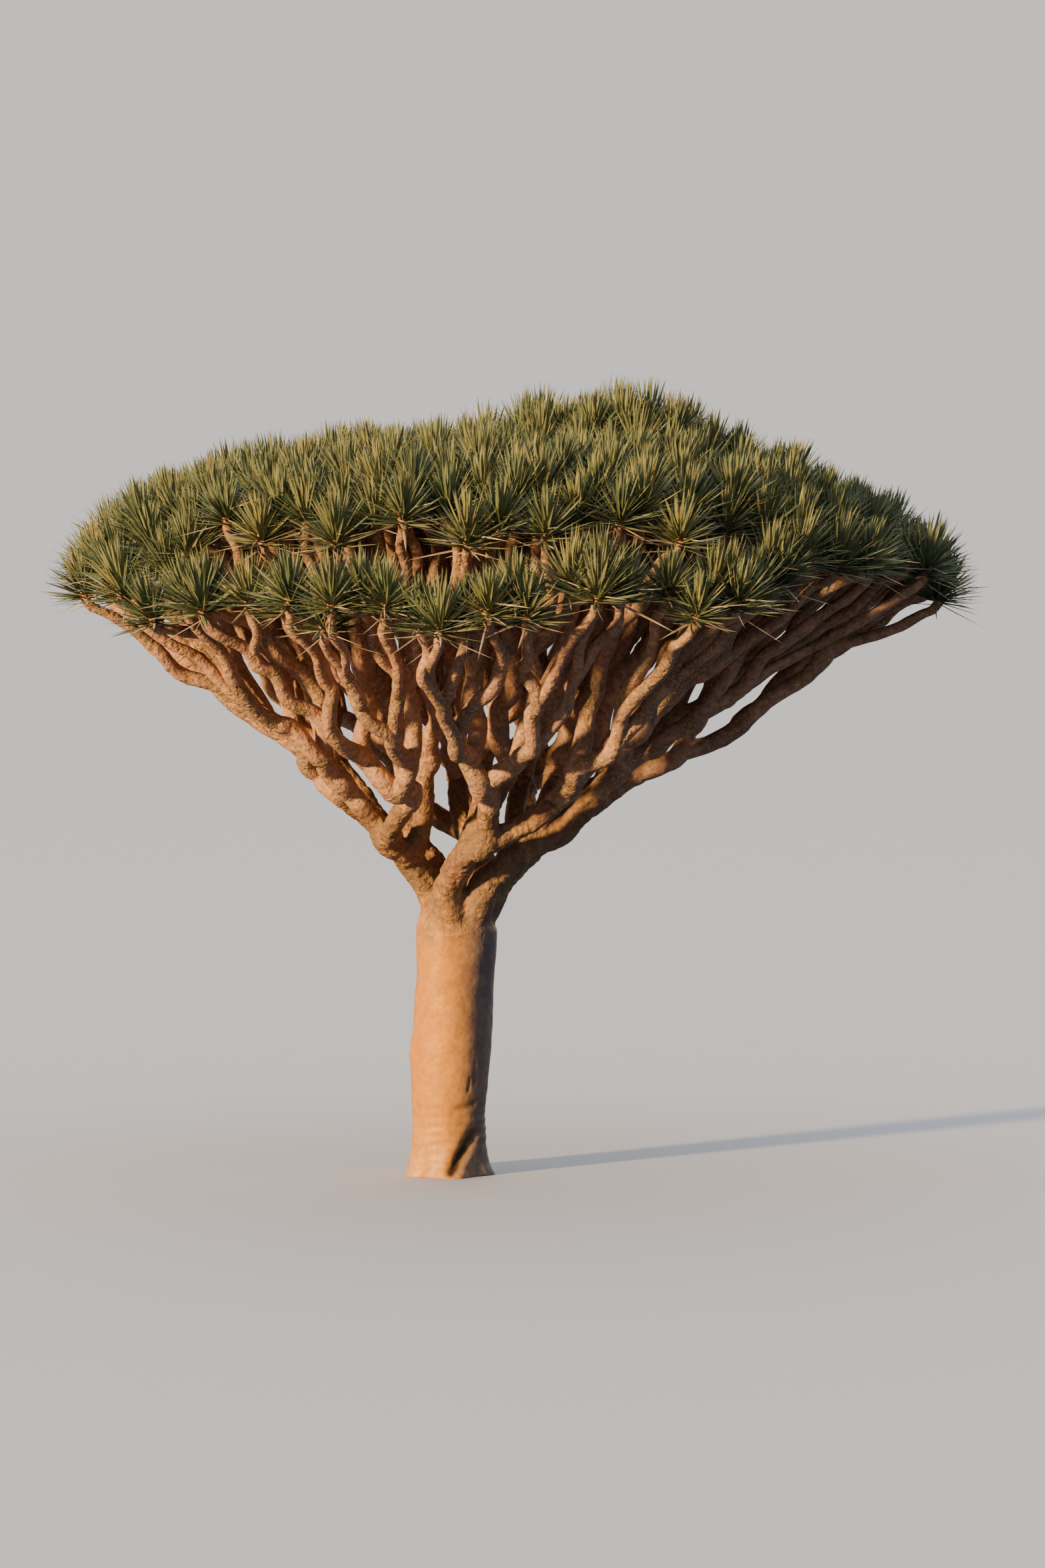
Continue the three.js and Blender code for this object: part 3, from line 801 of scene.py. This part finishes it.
noiseSpan = (0.3, 0.7)  # most of what a noise texture gives
barkTones = {
    "trunk": rgb(202, 137, 58),
    "bough": rgb(156, 116, 90),
    "twig": rgb(204, 157, 128),
    "patch": rgb(188, 148, 92),
    "lichen": rgb(122, 110, 80),
    "crack": rgb(78, 54, 44),
    # painted shade for the hollows of the trunk's marks
    "hollowshade": rgb(56, 41, 33),
    "worn": rgb(180, 156, 136),
    # painted shade: the grey bark colour for the sides of the trunk that the key light doesn't reach
    "paintedshade": rgb(124, 108, 104),
}
barkLook = {
    "broad": (2.6, 3.0),  # the scale and detail of each noise
    "patchy": (11.0, 5.0),
    "knobby": (24.0, 2.0),
    "fine": (60.0, 4.0),
    "warp": (9.0, 2.0),
    "streaky": (1.0, 3.0),
    "streaks": (30, 30, 6),  # the streaky noise's scale along each axis, drawn out upwards
    "roughFrom": (2.1, 2.7),  # heights between which trunk bark turns to bough bark
    "roughWaver": 0.8,
    # where the painted shade greys the trunk: across its right side, and towards its back
    "paintedShadeRight": (-0.02, 0.3),
    "paintedShadeBack": (-0.15, 0.2),
    "paintedShadeBackMost": 0.8,
    "darkest": (0.9, 0.7),  # on the trunk and on the boughs
    "palest": (1.06, 1.16),
    "patches": (0.5, 0.62),
    "patchesOnTrunk": 0.35,
    "lichen": (0.46, 0.62),
    "lichenMost": 0.9,
    "lichenGrain": (0.4, 0.6),
    "plates": 9.0,
    "plateWarp": 0.2,
    "crackEdges": (0.3, 0.0),
    "crackPlaces": (0.4, 0.7),
    "crackDark": 0.4,
    "crackDepth": 0.5,
    "wornBelow": (0.34, 0.08),
    "wornMost": 0.6,
    "wornStreaks": (0.38, 0.7),
    # how the painted shade in the marks' hollows ramps in, and how grainy it is
    "hollowShading": (0.05, 1.0),
    "hollowShadeGrain": (0.75, 1.3),
    "fineRelief": 0.3,
    "reliefOnTrunk": 0.2,
    "roughness": (0.4, 0.62),
    "roughnessSpread": 0.12,
    "patchiness": 0.6,
    "gloss": 0.4,
    "glossTone": rgb(255, 210, 130),
    "limbBump": 0.022,
    "twigBump": 0.02,
    "bumpStrength": 0.8,
}
leafLook = {
    "drift": (6.0, 3.0),  # the scale and detail of its noise
    "tones": (0.7, 1.3),
    "roughness": (0.42, 0.6),
    "variation": 0.6,
    "gloss": 0.18,
    "glossTone": rgb(255, 255, 255),
}


def makeBarkGroup():  # smooth satin trunk bark that turns to patchy, cracked bark above the fork, with painted shade on the sides away from the key light and in the hollows of the trunk's marks
    names = ("Trunk", "Bough", "Patch", "Lichen", "Crack", "Hollowshade", "Worn", "Paintedshade")
    inputs = {name + " colour": "Color" for name in names}
    outputs = {"Color": "Color", "Roughness": "Float", "Height": "Float"}
    group, given, made = newGroup("barkSurface", {**inputs, "Patchiness": "Float"}, outputs)
    tones = {name: given.outputs[name + " colour"] for name in names}

    def times(a, b):
        return calculate(group, "MULTIPLY", a, b)

    def ramp(value, span, toLow=0.0, toHigh=1.0):
        return mapped(group, value, *span, toLow, toHigh)

    place = addNode(group, "ShaderNodeTexCoord").outputs["Object"]
    parts = addNode(group, "ShaderNodeSeparateXYZ", {"Vector": place}).outputs
    broad, patchy, knobby, fine = [noisy(group, place, *barkLook[name])
                                   for name in ("broad", "patchy", "knobby", "fine")]
    upright = {0: place, 1: barkLook["streaks"]}
    drawnOut = addNode(group, "ShaderNodeVectorMath", upright, operation="MULTIPLY").outputs["Vector"]
    streaky = noisy(group, drawnOut, *barkLook["streaky"])
    climbed = calculate(group, "ADD", parts["Z"], times(broad, barkLook["roughWaver"]))
    onBoughs = ramp(climbed, barkLook["roughFrom"])

    def towardsBoughs(onTrunk, there):
        return mapped(group, onBoughs, 0.0, 1.0, onTrunk, there)

    toBack = ramp(parts["Y"], barkLook["paintedShadeBack"], 0.0, barkLook["paintedShadeBackMost"])
    away = calculate(group, "MAXIMUM", ramp(parts["X"], barkLook["paintedShadeRight"]), toBack)
    colour = mixColours(group, away, tones["Trunk"], tones["Paintedshade"])  # painted shade: greyer bark to the right and at the back, away from the key light
    colour = mixColours(group, onBoughs, colour, tones["Bough"])
    darkest, palest = towardsBoughs(*barkLook["darkest"]), towardsBoughs(*barkLook["palest"])
    tone = times(ramp(patchy, noiseSpan, darkest, palest), ramp(knobby, noiseSpan, darkest, palest))
    colour = mixColours(group, 1.0, colour, greyed(group, tone), "MULTIPLY")

    patches = times(ramp(patchy, barkLook["patches"]), given.outputs["Patchiness"])
    patches = times(patches, towardsBoughs(barkLook["patchesOnTrunk"], 1.0))
    colour = mixColours(group, patches, colour, tones["Patch"])
    lichen = times(ramp(broad, barkLook["lichen"], 0.0, barkLook["lichenMost"]), onBoughs)
    lichen = times(lichen, ramp(fine, barkLook["lichenGrain"]))
    colour = mixColours(group, lichen, colour, tones["Lichen"])

    warp = noisy(group, place, *barkLook["warp"], "Color")
    bent = mixColours(group, barkLook["plateWarp"], place, warp)
    plating = {"Vector": bent, "Scale": barkLook["plates"]}
    plates = addNode(group, "ShaderNodeTexVoronoi", plating, feature="DISTANCE_TO_EDGE").outputs["Distance"]
    cracked = times(ramp(plates, barkLook["crackEdges"]), onBoughs)
    cracked = times(cracked, ramp(patchy, barkLook["crackPlaces"]))
    colour = mixColours(group, times(cracked, barkLook["crackDark"]), colour, tones["Crack"])
    worn = ramp(parts["Z"], barkLook["wornBelow"], 0.0, barkLook["wornMost"])  # only near the ground
    colour = mixColours(group, times(worn, ramp(streaky, barkLook["wornStreaks"])), colour, tones["Worn"])
    # painted shade in the hollows of the trunk's marks
    paintedHollowShade = addNode(group, "ShaderNodeAttribute", attribute_name="paintedHollowShade").outputs["Fac"]
    hollowShading = times(paintedHollowShade, ramp(patchy, noiseSpan, *barkLook["hollowShadeGrain"]))
    colour = mixColours(group, ramp(hollowShading, barkLook["hollowShading"]), colour, tones["Hollowshade"])

    relief = calculate(group, "ADD", knobby, times(fine, barkLook["fineRelief"]))
    relief = times(relief, towardsBoughs(barkLook["reliefOnTrunk"], 1.0))
    relief = calculate(group, "SUBTRACT", relief, times(cracked, barkLook["crackDepth"]))
    smooth = towardsBoughs(*barkLook["roughness"])
    rough = calculate(group, "ADD", smooth, barkLook["roughnessSpread"])
    feed(group, made.inputs["Color"], colour)
    feed(group, made.inputs["Roughness"], ramp(patchy, noiseSpan, rough, smooth))
    feed(group, made.inputs["Height"], relief)
    return group


def makeLeafGroup():  # slight changes of tone from place to place, so that no two rosettes match
    inputs = {"Leaf colour": "Color", "Variation": "Float"}
    group, given, made = newGroup("leafSurface", inputs, {"Color": "Color", "Roughness": "Float"})
    place = addNode(group, "ShaderNodeTexCoord").outputs["Object"]
    drift = noisy(group, place, *leafLook["drift"])
    toned = greyed(group, mapped(group, drift, *noiseSpan, *leafLook["tones"]))
    colour = mixColours(group, given.outputs["Variation"], given.outputs["Leaf colour"], toned, "MULTIPLY")
    feed(group, made.inputs["Color"], colour)
    feed(group, made.inputs["Roughness"], mapped(group, drift, *noiseSpan, *leafLook["roughness"]))
    return group


barkGroup = makeBarkGroup()
leafGroup = makeLeafGroup()


def newMaterial(name, group, inputs, look, bump=0.0):
    material = bpy.data.materials.new(name)
    material.use_nodes = True
    tree = material.node_tree
    shader = tree.nodes["Principled BSDF"]
    surface = addNode(tree, "ShaderNodeGroup", inputs, node_tree=group)
    feed(tree, shader.inputs["Base Color"], surface.outputs["Color"])
    feed(tree, shader.inputs["Roughness"], surface.outputs["Roughness"])
    if bump:
        relief = {"Height": surface.outputs["Height"], "Distance": bump, "Strength": barkLook["bumpStrength"]}
        feed(tree, shader.inputs["Normal"], addNode(tree, "ShaderNodeBump", relief).outputs["Normal"])
    shader.inputs["Specular IOR Level"].default_value = look["gloss"]
    shader.inputs["Specular Tint"].default_value = look["glossTone"]
    return material


def barkMaterial(name, limb, bump):
    inputs = {part.capitalize() + " colour": tone for part, tone in barkTones.items() if part != "twig"}
    inputs["Bough colour"] = barkTones[limb]
    inputs["Patchiness"] = barkLook["patchiness"]
    return newMaterial(name, barkGroup, inputs, barkLook, bump)


def leafMaterial(name, colour):
    inputs = {"Leaf colour": [*colour, 1], "Variation": leafLook["variation"]}
    return newMaterial(name, leafGroup, inputs, leafLook)


trunkAndBoughs.data.materials.append(barkMaterial("trunkBark", "bough", barkLook["limbBump"]))
twigBark = barkMaterial("twigBark", "twig", barkLook["twigBump"])
leafMaterials = [leafMaterial(name, colour) for name, colour in [*greens, straw]]
for mass in masses:
    mass["twigs"].data.materials.append(twigBark)
    for material in leafMaterials:
        mass["leaves"].data.materials.append(material)
print("finishes made")

# The stage: a pale floor, a low warm key light from the left, and soft light from above and behind
stage = {
    "floorRadius": 400,
    "floorSides": 96,
    "floorTone": (0.5, 0.53, 0.59),
    "floorRoughness": 0.9,
    "floorFades": (9.0, 60.0),  # from here to there the floor turns into the backdrop
    "bounceTone": (0.05, 0.07, 0.12),  # what the floor throws back on the tree
    "keyStrength": 10.0,
    "keyTone": (1, 0.66, 0.3),
    "keyAzimuth": -50,
    "keyElevation": 11.5,
    "keySoftness": 4,
    "horizon": (0.4, 0.6, 1),
    "zenith": (0.72, 0.75, 0.82),
    "strengths": (0.1, 1.5),  # at the horizon and at the zenith
    "backFill": (1, 0.9, 0.76),
    "backFillFrom": (0.3, 0.7),
    "backFillStrength": 1.7,
    "backFillGrows": (0.4, 1.0),
    "backdrop": (0.84, 0.79, 0.75),
}


def makeFloor():
    bm = bmesh.new()
    bmesh.ops.create_circle(bm, cap_ends=True, segments=stage["floorSides"], radius=stage["floorRadius"])
    mesh = bpy.data.meshes.new("floor")
    bm.to_mesh(mesh)
    bm.free()
    floor = bpy.data.objects.new("floor", mesh)
    scene.collection.objects.link(floor)
    material = bpy.data.materials.new("paleFloor")
    material.use_nodes = True
    tree = material.node_tree
    shader = tree.nodes["Principled BSDF"]
    seen = addNode(tree, "ShaderNodeLightPath").outputs["Is Camera Ray"]
    tone = mixColours(tree, seen, [*stage["bounceTone"], 1], [*stage["floorTone"], 1])
    feed(tree, shader.inputs["Base Color"], tone)
    shader.inputs["Roughness"].default_value = stage["floorRoughness"]
    place = addNode(tree, "ShaderNodeTexCoord").outputs["Object"]
    away = addNode(tree, "ShaderNodeVectorMath", {"Vector": place}, operation="LENGTH").outputs["Value"]
    faded = calculate(tree, "MULTIPLY", mapped(tree, away, *stage["floorFades"]), seen)
    backdrop = addNode(tree, "ShaderNodeEmission", {"Color": [*stage["backdrop"], 1], "Strength": 1.0})
    layers = {"Fac": faded, 1: shader.outputs[0], 2: backdrop.outputs[0]}
    surface = addNode(tree, "ShaderNodeMixShader", layers)
    feed(tree, tree.nodes["Material Output"].inputs["Surface"], surface.outputs[0])
    mesh.materials.append(material)


def makeKeyLight():
    key = bpy.data.lights.new("key", "SUN")
    key.energy = stage["keyStrength"]
    key.color = stage["keyTone"]
    key.angle = math.radians(stage["keySoftness"])
    lamp = bpy.data.objects.new("key", key)
    scene.collection.objects.link(lamp)
    azimuth, elevation = math.radians(stage["keyAzimuth"]), math.radians(stage["keyElevation"])
    level = math.cos(elevation)
    towards = Vector((math.sin(azimuth) * level, -math.cos(azimuth) * level, math.sin(elevation)))
    lamp.rotation_euler = towards.to_track_quat("Z", "Y").to_euler()


def makeSoftLight():  # pale from above and warm from behind, with an even backdrop for the camera
    world = bpy.data.worlds.new("studio")
    scene.world = world
    world.use_nodes = True
    tree = world.node_tree
    soft = tree.nodes["Background"]
    way = addNode(tree, "ShaderNodeTexCoord").outputs["Generated"]
    parts = addNode(tree, "ShaderNodeSeparateXYZ", {"Vector": way}).outputs
    fromAbove = mapped(tree, parts["Z"], 0.0, 1.0, *stage["strengths"])
    fromBehind = mapped(tree, parts["Y"], *stage["backFillGrows"], 0.0, stage["backFillStrength"])
    feed(tree, soft.inputs["Strength"], calculate(tree, "ADD", fromAbove, fromBehind))
    behind = mapped(tree, parts["Y"], *stage["backFillFrom"])
    higher = mapped(tree, parts["Z"], 0.0, 1.0)
    sky = mixColours(tree, higher, [*stage["horizon"], 1], [*stage["zenith"], 1])
    feed(tree, soft.inputs["Color"], mixColours(tree, behind, sky, [*stage["backFill"], 1]))
    backdrop = addNode(tree, "ShaderNodeBackground", {"Color": [*stage["backdrop"], 1], "Strength": 1.0})
    seen = addNode(tree, "ShaderNodeLightPath").outputs["Is Camera Ray"]
    either = addNode(tree, "ShaderNodeMixShader", {"Fac": seen, 1: soft.outputs[0], 2: backdrop.outputs[0]})
    feed(tree, tree.nodes["World Output"].inputs["Surface"], either.outputs[0])


# The camera: far off and a little above, as in the photograph
view = {
    "elevation": 3.4,
    "distance": 46,
    "target": (0.57, 0, 2.98),
    "frameWidth": 7.95,  # how much of the scene the picture is wide, at the tree
    "imageSize": (1568, 2352),
    "sensorWidth": 36,
    "clipEnd": 2000,
}


def makeCamera():
    camera = bpy.data.cameras.new("camera")
    holder = bpy.data.objects.new("camera", camera)
    scene.collection.objects.link(holder)
    elevation = math.radians(view["elevation"])
    back = Vector((0, -math.cos(elevation), math.sin(elevation)))
    holder.location = Vector(view["target"]) + back * view["distance"]
    holder.rotation_euler = back.to_track_quat("Z", "Y").to_euler()
    width, height = view["imageSize"]
    camera.sensor_width = view["sensorWidth"]
    frameHeight = view["frameWidth"] * height / width
    camera.lens = camera.sensor_width * view["distance"] / frameHeight
    camera.clip_end = view["clipEnd"]
    scene.camera = holder


makeFloor()
makeKeyLight()
makeSoftLight()
makeCamera()
print("stage, lights and camera set")
